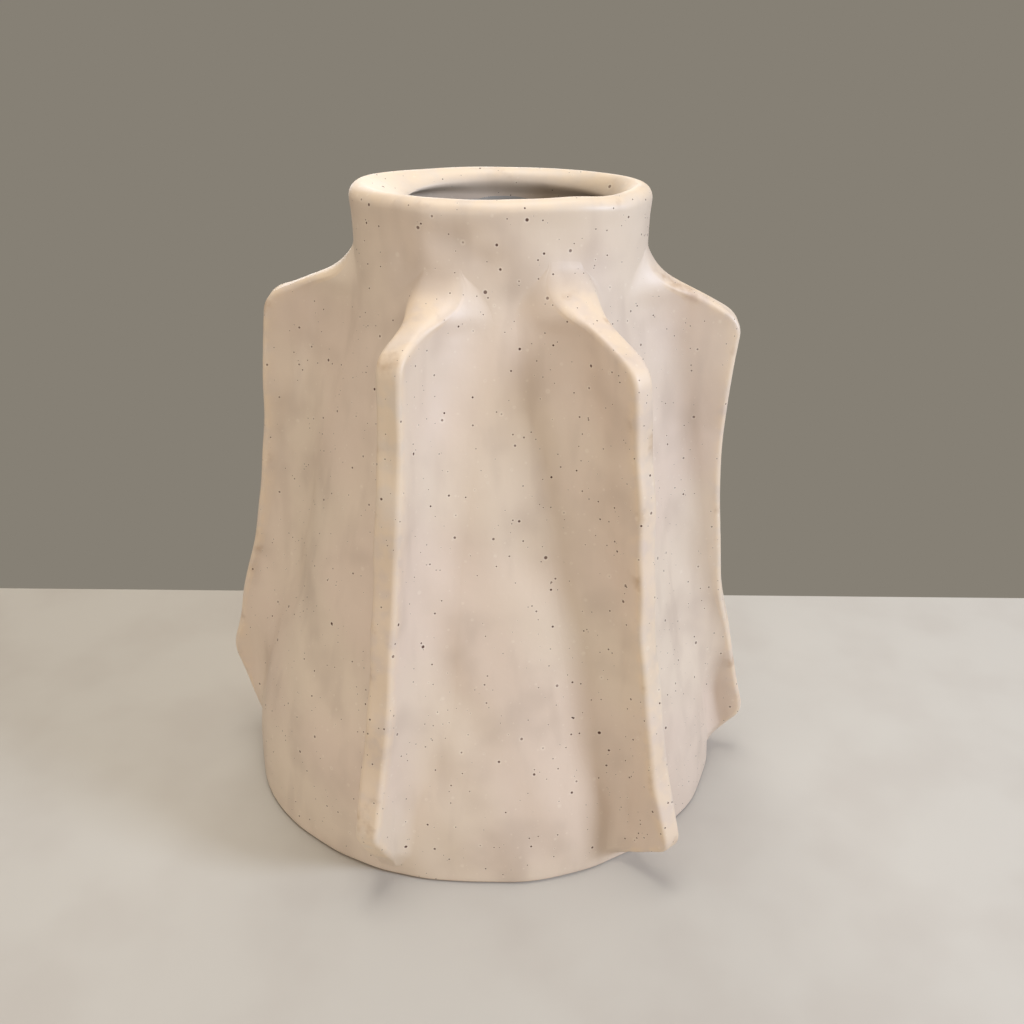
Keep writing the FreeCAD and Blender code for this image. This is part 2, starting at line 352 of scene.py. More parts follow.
class ClayMesh:
    """A mesh in the making: patches of points in millimetres, and the faces between them."""

    def __init__(self) -> None:
        """Starts with nothing."""
        self.points: list[Array] = []
        self.edges: list[Array] = []
        self.faces: list[tuple[Array, bool, Finish]] = []
        self.count = 0

    def rows(self, points: Array, edge: Array | float = 0.0) -> Array:
        """Adds a grid of points.

        Args:
            points: grid of points, rows by columns by three.
            edge: how near each point is to a thin edge, from 0 to 1.

        Returns:
            The numbers of the points, rows by columns.
        """
        flat = points.reshape(-1, 3)
        numbers = np.arange(self.count, self.count + len(flat)).reshape(points.shape[:2])
        self.points.append(flat)
        self.edges.append(np.broadcast_to(edge, points.shape[:2]).reshape(-1))
        self.count += len(flat)
        return numbers

    def skin(self, numbers: Array, smooth: bool = True, finish: Finish = Finish.OUTER_GLAZE) -> None:
        """Covers a grid of points with quads, one between each pair of rows and columns."""
        self.faces.append((quads(numbers), smooth, finish))

    def fan(self, ring: Array, smooth: bool = True, finish: Finish = Finish.OUTER_GLAZE) -> None:
        """Closes a ring of points with triangles to a new point at its middle.

        Args:
            ring: the numbers of the points.
            smooth: whether the faces are shaded smooth.
            finish: their finish.
        """
        flat = np.concatenate(self.points)
        middle = self.rows(flat[ring].mean(axis=0).reshape(1, 1, 3))[0, 0]
        after = np.roll(ring, -1)
        self.faces.append((np.stack([ring, after, np.full_like(ring, middle)], axis=1), smooth, finish))

    def piece(self, node: str, potter: "Potter") -> None:
        """Makes the object, with outward faces, that stands for a node of the frame.

        Args:
            node: the node that it replaces.
            potter: whose hand shifts the points, and whose glazes it wears.
        """
        name = f"{node}_glazed"
        points = potter.hand.shifted(np.concatenate(self.points)) * METRES
        sides = np.concatenate([np.full(len(faces), faces.shape[1]) for faces, _, _ in self.faces])
        corners = np.concatenate([faces.reshape(-1) for faces, _, _ in self.faces])
        mesh = bpy.data.meshes.new(name)
        mesh.vertices.add(len(points))
        mesh.vertices.foreach_set("co", points.astype(np.float32).reshape(-1))
        mesh.loops.add(len(corners))
        mesh.loops.foreach_set("vertex_index", corners.astype(np.int32))
        mesh.polygons.add(len(sides))
        mesh.polygons.foreach_set("loop_start", (np.cumsum(sides) - sides).astype(np.int32))
        smooth = np.concatenate([np.full(len(faces), smooth) for faces, smooth, _ in self.faces])
        slots = np.concatenate([np.full(len(faces), finish.value) for faces, _, finish in self.faces])
        mesh.polygons.foreach_set("use_smooth", smooth)
        mesh.polygons.foreach_set("material_index", slots.astype(np.int32))
        edge = mesh.attributes.new(EDGE_ATTRIBUTE, "FLOAT", "POINT")
        edge.data.foreach_set("value", np.concatenate(self.edges).astype(np.float32))
        mesh.update(calc_edges=True)
        mesh.validate()
        work = bmesh.new()
        work.from_mesh(mesh)
        bmesh.ops.remove_doubles(work, verts=work.verts, dist=1e-3 * METRES)
        bmesh.ops.recalc_face_normals(work, faces=work.faces)
        work.to_mesh(mesh)
        work.free()
        mesh.set_sharp_from_angle(angle=SHARP_ANGLE)
        for glaze in potter.glazes:
            mesh.materials.append(glaze)
        thing = bpy.data.objects.new(name, mesh)
        bpy.context.scene.collection.objects.link(thing)
        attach(thing, ROOT)
        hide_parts(node)
        log.info("%s: %d faces", name, len(mesh.polygons))


@dataclass(frozen=True)
class Potter:
    """What every piece is made with: form, shifts of the hand, glazes and thickness of the clay."""

    form: BodyForm
    hand: Handwork
    glazes: tuple[bpy.types.Material, bpy.types.Material]
    wall: float = 6.5
    floor: float = 7.0
    seam_turn: float = math.radians(87.0)
    half_columns: int = 190

    def turns(self, seams: tuple[int, int] = WHOLE_TURN) -> Array:
        """Places round the oval that all rings share, from seam to seam in half turns from the left."""
        first, last = [seam * self.half_columns for seam in seams]
        return self.seam_turn - math.pi + math.pi / self.half_columns * np.arange(first, last + 1)


@dataclass(frozen=True)
class Walls:
    """The two halves of the body wall and the neck collar, each a closed shell of even thickness."""

    potter: Potter
    collar_height: float = 33.0
    lip_height: float = 9.0
    grain: float = 1.7

    def shell(self, node: str, seams: tuple[int, int], low: float, high: float) -> None:
        """A stretch of wall: outside and inside as grids of turn and height, closed round their rims.

        Args:
            node: the node that it stands for.
            seams: its two seams.
            low: the height where it starts.
            high: the height where it ends.
        """
        form = self.potter.form
        levels = np.linspace(low, high, 1 + round((high - low) / self.grain))
        turns, heights = np.meshgrid(self.potter.turns(seams), levels)
        clay = ClayMesh()
        outside = clay.rows(form.wall(turns, heights))
        inside = clay.rows(form.wall(turns, heights, self.potter.wall))
        clay.skin(outside)
        clay.skin(inside, finish=Finish.INNER_GLAZE_WITH_PAINTED_SHADE)
        level_rims = [np.s_[0], np.s_[-1]]
        upright_rims = [] if seams == WHOLE_TURN else [np.s_[:, 0], np.s_[:, -1]]
        for rim in level_rims + upright_rims:
            clay.skin(np.stack([outside[rim], inside[rim]]), smooth=False)
        clay.piece(node, self.potter)

    def build(self) -> None:
        """Makes the two wall halves and, above them, the collar."""
        neck_top = self.potter.form.height - self.lip_height
        neck_foot = neck_top - self.collar_height
        self.shell("front_wall", (0, 1), self.potter.floor, neck_foot)
        self.shell("back_wall", (1, 2), self.potter.floor, neck_foot)
        self.shell("neck_collar", WHOLE_TURN, neck_foot, neck_top)


@dataclass(frozen=True)
class Base:
    """The floor of the vase and the coil in its inside corner."""

    potter: Potter
    foot_round: float = 2.0
    coil: float = 8.0
    crest_share: float = 0.25
    round_rows: int = 7
    side_rows: int = 4
    disc_rows: int = 14
    coil_rows: int = 12

    def slab(self) -> None:
        """The floor slab: a closed oval disc whose lower edge is a quarter round.

        Its section is carried round the oval: out along the top, down the side, round the foot by
        inset = r(1 - sin a) and level = r(1 - cos a), and back in underneath.
        """
        form = self.potter.form
        swing = np.linspace(math.pi / 2.0, 0.0, self.round_rows)
        side = np.linspace(self.potter.floor, self.foot_round, self.side_rows)
        level = np.concatenate([side, self.foot_round * (1.0 - np.cos(swing[1:]))])
        inset = np.concatenate([np.zeros(len(side)), self.foot_round * (1.0 - np.sin(swing[1:]))])
        turns, levels = np.meshgrid(self.potter.turns(), level)
        rim = form.wall(turns, levels, inset[:, None])
        shares = np.linspace(0.0, 1.0, self.disc_rows)[1:-1, None, None]
        shift = np.array([form.base_shift, 0.0, 0.0])

        def disc(edge: Array, spread: Array) -> Array:
            """Rings between the middle of the slab and an edge row, as shares of the way out."""
            middle = shift + np.array([0.0, 0.0, 1.0]) * edge[:1, 2:]
            return middle + spread * (edge - middle)

        clay = ClayMesh()
        top = clay.rows(disc(rim[0], shares))
        sides = clay.rows(rim)
        under = clay.rows(disc(rim[-1], shares[::-1]))
        clay.skin(top, finish=Finish.INNER_GLAZE_WITH_PAINTED_SHADE)
        clay.skin(np.stack([top[-1], sides[0]]), smooth=False, finish=Finish.INNER_GLAZE_WITH_PAINTED_SHADE)
        clay.skin(sides)
        clay.skin(np.stack([sides[-1], under[0]]), smooth=False)
        clay.skin(under, smooth=False)
        clay.fan(top[0, :-1], finish=Finish.INNER_GLAZE_WITH_PAINTED_SHADE)
        clay.fan(under[-1, :-1], smooth=False)
        clay.piece("base_slab", self.potter)

    def corner_coil(self) -> None:
        """The coil in the corner: a hollow cove between floor and wall, carried round the oval.

        With w and t for the wall and the floor, s for the share that stays short of the wall and c for
        the coil's size, the cove is inset = w + c(1 - (1 - s) sin a), level = t + c(1 - cos a).
        """
        wall, floor = self.potter.wall, self.potter.floor
        swing = np.linspace(0.0, math.pi / 2.0, self.coil_rows)
        inset = wall + self.coil * (1.0 - np.sin(swing) * (1.0 - self.crest_share))
        level = floor + self.coil * (1.0 - np.cos(swing))
        inset = np.concatenate([inset, [wall, wall, inset[0]]])
        level = np.concatenate([level, [level[-1], floor, floor]])
        turns, levels = np.meshgrid(self.potter.turns(), level)
        clay = ClayMesh()
        cove = clay.rows(self.potter.form.wall(turns, levels, inset[:, None]))
        clay.skin(cove, finish=Finish.INNER_GLAZE_WITH_PAINTED_SHADE)
        clay.piece("base_corner_coil", self.potter)

    def build(self) -> None:
        """Makes the slab and the coil."""
        self.slab()
        self.corner_coil()


@dataclass(frozen=True)
class Lip:
    """The rolled rim of the mouth: a round coil that grows out of the neck and hangs over inside."""

    potter: Potter
    width: float = 9.4
    overhang: float = 0.3
    crown: float = 4.7
    outer_start: float = 11.0
    inner_start: float = 10.5
    skirt: float = 5.0
    skirt_sink: float = 0.35
    end_widths: Pair = (11.0, 2.5)
    end_slope: float = 3.0
    end_power: float = 1.6
    edge_depth: float = 1.5
    skirt_rows: int = 5
    rise_rows: int = 8
    crown_rows: int = 25

    def section(self) -> tuple[Array, Array, Array, Array]:
        """The closed section of the lip as insets from the neck's outside, and heights.

        It rises out of the neck with a soft step, goes over the crown as a half circle, and curls back
        under to the inside of the neck. A skirt on each side sinks slightly into the neck's wall.

        Returns:
            Insets, heights, nearness to the edge, and shares of the move at the mouth's ends.
        """
        top, wall = self.potter.form.height, self.potter.wall
        spring = top - self.crown
        low = top - self.outer_start
        down = np.linspace(1.0, 0.0, self.skirt_rows)
        rise = np.linspace(0.0, 1.0, self.rise_rows)[1:]
        over = np.linspace(0.0, math.pi, self.crown_rows)[1:]
        inner_low = top - self.inner_start
        inner_end = self.width - self.overhang
        inset = [
            self.skirt_sink * down ** 2,
            -self.overhang * smooth_step(rise, 0.0, 1.0),
            self.width / 2.0 - self.overhang - self.width / 2.0 * np.cos(over),
            inner_end + (wall - inner_end) * smooth_step(rise, 0.0, 1.0),
            wall - self.skirt_sink * down[::-1][1:] ** 2,
            np.array([wall / 2.0]),
            np.array([self.skirt_sink]),
        ]
        level = [
            low - self.skirt * down,
            low + (spring - low) * rise,
            spring + self.crown * np.sin(over),
            spring + (inner_low - spring) * rise,
            inner_low - self.skirt * down[::-1][1:],
            np.array([inner_low - self.skirt]),
            np.array([low - self.skirt]),
        ]
        inward = [
            np.zeros(len(down) + len(rise)),
            smooth_step(over, math.pi / 2.0, math.pi),
            1.0 - smooth_step(rise, 0.0, 1.0),
            np.zeros(len(down) + 1),
        ]
        heights = np.concatenate(level)
        edge = smooth_step(heights, spring - self.edge_depth, top)
        return np.concatenate(inset), heights, edge, np.concatenate(inward)

    def build(self) -> None:
        """Carries the section round the mouth: wall point minus inset times its outward normal.

        Towards the ends of the mouth the inner side moves in lengthwise and slopes down, by a power of
        |sin turn|.
        """
        form = self.potter.form
        inset, level, edge, inward = self.section()
        turn = self.potter.turns()
        turns, levels = np.meshgrid(turn, level)
        ends = np.abs(np.sin(turn)) ** self.end_power
        left, right = self.end_widths
        lengthwise = inward[:, None] * ends * np.where(np.sin(turn) < 0.0, left, -right)
        levels = levels - inward[:, None] * ends * self.end_slope
        wide, deep, _ = form.girth(levels)
        points = form.wall(turns, levels)
        points[..., 0] += lengthwise
        outward = unit(np.stack([np.sin(turns) / wide, -np.cos(turns) / deep, 0.0 * turns], axis=-1))
        clay = ClayMesh()
        clay.skin(clay.rows(points - inset[:, None, None] * outward, edge[:, None]))
        clay.piece("lip_coil", self.potter)


@dataclass(frozen=True)
class Cut:
    """The side outline of a fin: levels as shares of the height, and reaches out from the wall."""

    level_shares: tuple[float, float, float, float, float]
    shoulder_reach: float
    waist_reach: float
    tip_reach: float
    thickness: float
    shoulder_round: float = 7.5
    tip_round: float = 6.5


@dataclass(frozen=True)
class Fin:
    """An upright fin: a slab with rounded edges, whose sides run into the wall in wide hollow blends.

    A zone is a stretch of the outline, counted from its nearer end, and a rise is a distance out from the
    wall. Where there are two, something fades between them.
    """

    potter: Potter
    place: str
    angle: float
    cut: Cut
    root_rounds: Pair
    edge_round: float = 2.0
    grain: float = 1.2
    lowest: float = 0.3
    straight_points: int = 121
    arc_points: int = 361
    crest_run: float = 16.0
    crest_blend: float = 11.0
    crest_zones: Pair = (45.0, 80.0)
    crest_softness: float = 4.0
    soft_rises: Pair = (2.0, 17.0)
    crest_flare: float = 2.6
    flare_fade: float = 30.0
    crest_tightness: float = 0.45
    tight_rise: float = 22.0
    crest_sink: float = 0.6
    foot_run: float = 11.0
    foot_blend: float = 6.0
    foot_zones: Pair = (42.0, 80.0)
    foot_root_share: float = 0.40
    foot_sink: float = 0.5
    sink_zone: float = 6.0
    shoulder_lag: float = 0.34
    tip_lag: float = 0.3
    outward_pull: float = 0.6
    least_rise: float = 0.02
    spare_rise: float = 0.06
    slope_rise: float = 16.0
    worn_rises: Pair = (1.0, 7.0)
    worn_width: float = 2.2
    blend_rows: int = 13
    round_rows: int = 7
    flat_shares: Pair = (0.6, 0.25)
    skirt: float = 7.0
    skirt_sink: float = 0.35
    skirt_rows: int = 4
    back_depth: float = 3.0
    back_shares: tuple[float, ...] = (0.9, 0.45, 0.0, -0.45, -0.9)
    smear_reach: float = 34.0
    smear_rows: float = 11.0
    smear_count: int = 50
    smear_rises: Pair = (0.5, 5.0)

    def profile(self, level: Array | float) -> Array:
        """Points of the wall's own profile along the fin's heading, as reaches and levels."""
        level = np.atleast_1d(np.asarray(level, float))
        return np.stack([self.potter.form.reach(level, self.angle), level], axis=1)

    def from_crest(self, source: Array) -> Array:
        """How far along the outline each of its points is."""
        return np.arange(len(source)) * self.grain

    def outline(self) -> tuple[Array, Array]:
        """The smoothed side outline, from the neck over the crest and down to the foot.

        Straight runs and the waist's arc are laid end to end between two runs on the wall itself, and a
        running mean rounds the corners between them.

        Returns:
            Reaches and levels of the outline, and the level on the wall from which each point grows.
        """
        cut = self.cut
        height = self.potter.form.height
        crest, shoulder, waist, tip, under = [share * height for share in cut.level_shares]
        top, low = crest + self.crest_run, max(under - self.foot_run, 2.0 * self.lowest)
        reaches = (cut.shoulder_reach, cut.waist_reach, cut.tip_reach)
        corner, middle, point = [
            self.profile(level)[0] + (reach, 0.0) for level, reach in zip((shoulder, waist, tip), reaches)
        ]
        root, foot = self.profile(crest)[0], self.profile(under)[0]
        share = np.linspace(0.0, 1.0, self.straight_points)[:, None]
        runs = [
            self.profile(top + (crest - top) * share[:, 0]),
            root + (corner - root) * share,
            arc_through(corner, middle, point, self.arc_points),
            point + (foot - point) * share,
            self.profile(under + (low - under) * share[:, 0]),
        ]
        line = np.concatenate([run[:-1] for run in runs[:-1]] + [runs[-1]])
        along = np.concatenate([[0.0], np.cumsum(np.linalg.norm(np.diff(line, axis=0), axis=1))])
        marks = along[np.cumsum([0] + [len(run) - 1 for run in runs])]
        windows = [0.0, self.crest_blend, cut.shoulder_round, cut.tip_round, self.foot_blend, 0.0]
        lags = [0.0, 1.0, self.shoulder_lag * cut.shoulder_reach, self.tip_lag * (tip - under), -1.0, 0.0]
        levels = np.array([top, crest, shoulder, tip, under, low]) - np.array(lags)
        source = np.interp(along, marks, levels)
        smooth = running_mean(np.column_stack([line, source]), along, np.interp(along, marks, windows))
        spread = np.linspace(0.0, along[-1], 1 + round(along[-1] / self.grain))
        columns = [np.interp(spread, along, column) for column in smooth.T]
        return np.stack(columns[:2], axis=1), columns[2]

    def side(self, hand: int, outline: Array, source: Array) -> tuple[Array, Array]:
        """One side of every section, from the skirt on the wall to the middle of the edge.

        Seen along the outline, a section rises h from the wall through a hollow arc of radius R, a
        straight run and a round arc of radius r, with (R + r)(1 - cos f) = h while the fin is low, and
        f = 90 degrees once it stands higher. The hollow arc is a cubic whose handles are
        4/3 tan(f / 4) R long.

        Args:
            hand: -1 or 1, towards smaller or larger angles.
            outline: reaches and levels.
            source: levels on the wall.

        Returns:
            Points as rows across by columns along, each a sideways distance, a reach and a level, and
            the nearness to the edge.
        """
        form = self.potter.form
        root = self.profile(source)
        lean = np.gradient(root[:, 0], root[:, 1])
        wall_out = np.stack([np.ones_like(lean), -lean], axis=1) / np.hypot(1.0, lean)[:, None]
        rise = outline - root
        high = np.maximum(np.sum(rise * wall_out, axis=1), self.least_rise)
        heading = unit(rise + self.outward_pull * wall_out)
        run = unit(np.gradient(outline, axis=0))
        out = np.stack([-run[:, 1], run[:, 0]], axis=1)

        from_crest = self.from_crest(source)
        near_crest = 1.0 - smooth_step(from_crest, *self.crest_zones)
        melting = self.crest_softness * near_crest * (1.0 - smooth_step(high, *self.soft_rises))
        flaring = 1.0 - smooth_step(from_crest, self.crest_run, self.crest_run + self.flare_fade)
        flare = self.crest_flare * flaring + melting
        round_over = self.edge_round + melting
        tight = self.crest_tightness * near_crest * (1.0 - smooth_step(high, 0.0, self.tight_rise))
        hollow = self.root_rounds[(hand + 1) // 2] * (1.0 - tight)
        foot_end, foot_start = [from_crest[-1] - zone for zone in self.foot_zones]
        near_foot = smooth_step(from_crest, foot_start, foot_end)
        hollow *= 1.0 - (1.0 - self.foot_root_share) * near_foot
        total = hollow + round_over
        turn = np.arccos(1.0 - np.clip(high * (1.0 - self.spare_rise) / total, 0.0, 1.0))
        straight = np.maximum(high - total * (1.0 - np.cos(turn)), 0.0) / np.sin(turn)
        flat = self.cut.thickness / 2.0 - round_over + flare
        follow = 1.0 - smooth_step(high, 0.0, self.slope_rise)

        def on_wall(sideways: Array, sink: float = 0.0) -> Array:
            """Points of the wall beside the fin, as sideways distance, reach and level."""
            reach = form.reach(source, self.angle, hand * sideways) - sink
            return np.stack([sideways, reach, source], axis=1)

        def off_wall(sideways: Array, spot: Array) -> Array:
            """Points beside the fin's middle plane, which slope as the wall does where the fin is low."""
            slope = form.reach(source, self.angle, hand * sideways) - root[:, 0]
            return np.column_stack([sideways, spot[:, 0] + follow * slope, spot[:, 1]])

        def rounded(share: float) -> tuple[Array, Array]:
            """Sideways distance and spot of the round edge, at a share of its turn from the middle."""
            spot = outline - out * (round_over * (1.0 - np.cos(turn * share)))[:, None]
            return flat + round_over * np.sin(turn * share), spot

        edge_side, edge_end = rounded(1.0)
        low_side = edge_side + straight * np.cos(turn)
        low_end = edge_end - heading * (straight * np.sin(turn))[:, None]
        foot_side = low_side + hollow * np.sin(turn)
        foot = on_wall(foot_side)
        inward = unit(on_wall(foot_side - 1.0) - foot)
        handle = (4.0 / 3.0 * np.tan(turn / 4.0) * hollow)[:, None]
        low_point, edge_point = off_wall(low_side, low_end), off_wall(edge_side, edge_end)
        up = np.column_stack([-np.cos(turn), heading * np.sin(turn)[:, None]])
        poles = (foot, foot + inward * handle, low_point - up * handle, low_point)
        aways = np.linspace(1.0, 0.0, self.skirt_rows + 1)[:-1]
        shares = np.linspace(0.0, 1.0, self.blend_rows)
        skirt = [on_wall(foot_side + self.skirt * away, self.skirt_sink * away ** 2) for away in aways]
        blend = []
        for t in shares:
            weights = ((1 - t) ** 3, 3 * t * (1 - t) ** 2, 3 * t * t * (1 - t), t ** 3)
            blend.append(sum(weight * pole for weight, pole in zip(weights, poles)))
        face = [low_point + share * (edge_point - low_point) for share in shares[1:]]
        over = [off_wall(*rounded(share)) for share in np.linspace(1.0, 0.0, self.round_rows)[1:]]
        over += [off_wall(flat * share, outline) for share in self.flat_shares]
        clean, worn = np.zeros(len(source)), np.ones(len(source))
        near = np.clip(straight, 1e-3, None)
        wear = [np.exp(-near * (1.0 - share) / self.worn_width) for share in shares[1:]]
        edges = [clean] * len(skirt + blend) + wear + [worn] * len(over)
        points = np.stack(skirt + blend + face + over)
        points[..., 0] *= hand
        return points, np.stack(edges) * smooth_step(high, *self.worn_rises)

    def smeared(self, points: Array, high: Array) -> Array:
        """Smooths the crest into the neck: many times, points move half way to their neighbours' mean.

        Args:
            points: rows across the fin and columns along it.
            high: how far each column stands out.

        Returns:
            The points, unchanged from the shoulder down and where the fin is low or touches the wall.
        """
        smooth = points.copy()
        rows = slice(self.skirt_rows, -self.skirt_rows)
        above = slice(self.skirt_rows - 1, -self.skirt_rows - 1)
        below = slice(self.skirt_rows + 1, 1 - self.skirt_rows)
        row = np.arange(points.shape[0])
        across = smooth_step(np.minimum(row, row[::-1]) - self.skirt_rows, 0.0, self.smear_rows)
        end = self.crest_run + self.smear_reach
        along = 1.0 - smooth_step(self.from_crest(high), self.crest_run, end)
        along *= smooth_step(high, *self.smear_rises)
        share = 0.5 * across[rows, None, None] * along[None, 1:-1, None]
        for _ in range(self.smear_count):
            beside = smooth[above, 1:-1] + smooth[below, 1:-1] + smooth[rows, :-2] + smooth[rows, 2:]
            smooth[rows, 1:-1] += share * (beside / 4.0 - smooth[rows, 1:-1])
        return smooth

    def build(self) -> None:
        """Joins both sides of every section over the edge and, inside the wall, behind it."""
        outline, source = self.outline()
        left, left_edge = self.side(-1, outline, source)
        right, right_edge = self.side(1, outline, source)
        high = np.hypot(*(outline - self.profile(source)).T)
        front = self.smeared(np.concatenate([left, right[::-1]]), high)
        back = []
        for share in self.back_shares:
            sideways = share * np.abs((right if share > 0 else left)[0, :, 0])
            reach = self.potter.form.reach(source, self.angle, sideways) - self.back_depth
            back.append(np.column_stack([sideways, reach, source]))
        points = np.concatenate([front, np.stack(back)])
        edge = np.concatenate([left_edge, right_edge[::-1], np.zeros((len(back), len(source)))])
        from_crest = self.from_crest(source)
        near_crest = 1.0 - smooth_step(from_crest, 0.0, self.crest_run - self.crest_blend / 2.0)
        near_foot = 1.0 - smooth_step(from_crest[::-1], 0.0, self.sink_zone)
        points[..., 1] -= self.crest_sink * near_crest
        points[..., 1] -= self.foot_sink * near_foot
        sine, cosine = math.sin(self.angle), math.cos(self.angle)
        across, out, upward = np.array([[cosine, sine, 0.0], [sine, -cosine, 0.0], [0.0, 0.0, 1.0]])
        spots = points[..., :1] * across + points[..., 1:2] * out + points[..., 2:] * upward
        spots[..., 2] = np.clip(spots[..., 2], self.lowest, None)
        clay = ClayMesh()
        numbers = clay.rows(np.concatenate([spots, spots[:1]]), np.concatenate([edge, edge[:1]]))
        clay.skin(numbers)
        clay.fan(numbers[:-1, 0])
        clay.fan(numbers[:-1, -1])
        clay.piece(f"fin_{self.place}", self.potter)


# Where the fingers pressed: five places round the neck, seven on the panels and two by the left foot.
PRESSES = (
    Dent((-13.0, -36.0, 246.0), (8.0, 12.0, 6.0), 1.4),
    Dent((-1.0, -36.5, 238.0), (7.0, 12.0, 5.0), 1.1),
    Dent((-31.0, -30.0, 239.0), (8.0, 9.0, 9.0), 1.3),
    Dent((31.0, -30.0, 239.0), (9.0, 10.0, 8.0), 0.9),
    Dent((9.0, -38.0, 224.0), (9.0, 9.0, 7.0), 1.0),
    Dent((-2.0, -62.0, 120.0), (12.0, 14.0, 22.0), 0.7),
    Dent((14.0, -60.0, 138.0), (9.0, 12.0, 16.0), 0.5),
    Dent((-4.0, -74.0, 88.0), (10.0, 14.0, 15.0), 0.5),
    Dent((-58.0, -45.0, 125.0), (10.0, 14.0, 20.0), 0.8),
    Dent((-64.0, -52.0, 90.0), (9.0, 12.0, 14.0), 0.6),
    Dent((70.0, 40.0, 110.0), (12.0, 12.0, 20.0), 0.7),
    Dent((0.0, 66.0, 120.0), (12.0, 12.0, 20.0), 0.7),
    Dent((-94.0, -31.0, 40.0), (2.8, 2.8, 8.0), 0.6),
    Dent((-81.5, -46.5, 58.0), (2.8, 2.8, 9.0), 0.55),
)

# Shares of the height for crest, shoulder, waist, tip and underside, then three reaches and a thickness.
LEFT_CUT = Cut((0.890, 0.835, 0.500, 0.194, 0.042), 34.2, 21.5, 18.5, 9.5)
RIGHT_CUT = Cut((0.892, 0.810, 0.462, 0.096, 0.027), 35.4, 21.0, 17.5, 9.5)
FRONT_LEFT_CUT = Cut((0.880, 0.824, 0.485, 0.127, 0.026), 34.0, 21.0, 19.6, 10.0, tip_round=4.0)
FRONT_RIGHT_CUT = Cut((0.885, 0.813, 0.473, 0.081, 0.014), 36.0, 25.0, 25.0, 9.0)

# Place, degrees from the front, cut and root roundings. The back two repeat the cuts of the front two.
FINS = (
    ("left", -93.0, LEFT_CUT, (13.0, 15.0)),
    ("right", 87.0, RIGHT_CUT, (14.0, 14.0)),
    ("front_left", -24.0, FRONT_LEFT_CUT, (14.0, 14.0)),
    ("front_right", 39.0, FRONT_RIGHT_CUT, (14.0, 14.0)),
    ("back_right", 158.0, FRONT_LEFT_CUT, (14.0, 14.0)),
    ("back_left", -141.0, FRONT_RIGHT_CUT, (14.0, 14.0)),
)


class Value:
    """A value in a shader. An operator on it adds the Math node that works out the result."""

    def __init__(self, bench: "Bench", socket: bpy.types.NodeSocket) -> None:
        """Wraps a socket of the bench's node tree."""
        self.bench = bench
        self.socket = socket

    def math(self, operation: str, other: "Value | float") -> "Value":
        """Adds a Math node with this value first."""
        return self.bench.node("ShaderNodeMath", {0: self, 1: other}, operation=operation)

    def __add__(self, other: "Value | float") -> "Value":
        """This plus the other."""
        return self.math("ADD", other)

    __radd__ = __add__

    def __mul__(self, other: "Value | float") -> "Value":
        """This times the other."""
        return self.math("MULTIPLY", other)

    __rmul__ = __mul__

    def __sub__(self, other: "Value | float") -> "Value":
        """This minus the other."""
        return self.math("SUBTRACT", other)

    def __rsub__(self, other: float) -> "Value":
        """The other minus this."""
        return (self * -1.0) + other

    def __truediv__(self, other: "Value | float") -> "Value":
        """This divided by the other."""
        return self.math("DIVIDE", other)

    def step(self, low: float, high: float) -> "Value":
        """Rises smoothly from 0 where this is low to 1 where it is high."""
        inputs = {0: self, 1: low, 2: high, 3: 0.0, 4: 1.0}
        return self.bench.node("ShaderNodeMapRange", inputs, interpolation_type="SMOOTHSTEP")


@dataclass(frozen=True)
class Patches:
    """Patches that show, up to a share, where a smooth noise of some length rises from low to high."""

    length: float
    detail: float
    low: float
    high: float
    share: float = 1.0


class Bench:
    """A node tree and the ways to add to it."""

    def __init__(self, owner: bpy.types.Material | bpy.types.World) -> None:
        """Starts with an empty tree.

        Args:
            owner: the material or world whose tree it is.
        """
        owner.use_nodes = True
        self.tree = owner.node_tree
        self.tree.nodes.clear()

    def node(self, kind: str, inputs: dict[int | str, object] | None = None,
             output: int | str | None = 0, **settings: object) -> Value | None:
        """Adds a node.

        Args:
            kind: the node's type.
            inputs: a value or a link for each named or numbered socket.
            output: the socket to return, or None where the node has none.
            settings: the node's own settings, which are set first.

        Returns:
            The chosen output.
        """
        node = self.tree.nodes.new(kind)
        for name, setting in settings.items():
            setattr(node, name, setting)
        for name, value in (inputs or {}).items():
            if isinstance(value, Value):
                self.tree.links.new(value.socket, node.inputs[name])
            else:
                node.inputs[name].default_value = value
        return None if output is None else Value(self, node.outputs[output])

    def mix(self, share: Value | float, first: object, second: object) -> Value:
        """Mixes two colours: the first where the share is 0 and the second where it is 1."""
        return self.node("ShaderNodeMix", {0: share, 6: first, 7: second}, output=2, data_type="RGBA")

    def vector(self, operation: str, place: Value, by: Triple) -> Value:
        """Works out a vector from a place and three numbers."""
        return self.node("ShaderNodeVectorMath", {0: place, 1: by}, operation=operation)

    def noise(self, place: Value, length: float, detail: float) -> Value:
        """Smooth noise whose patches are about length millimetres long."""
        inputs = {"Vector": place, "Scale": 1.0 / (length * METRES), "Detail": detail, "Roughness": 0.5}
        return self.node("ShaderNodeTexNoise", inputs)

    def patches(self, place: Value, kind: Patches) -> Value:
        """How much patches of that kind show, from 0 to their share."""
        return self.noise(place, kind.length, kind.detail).step(kind.low, kind.high) * kind.share


def shade(red: int, green: int, blue: int) -> tuple[float, float, float, float]:
    """A colour given as it shows on a screen, from 0 to 255, as light: ((c + 0.055) / 1.055)^2.4."""
    light = [((value / 255.0 + 0.055) / 1.055) ** 2.4 for value in (red, green, blue)]
    return (*light, 1.0)


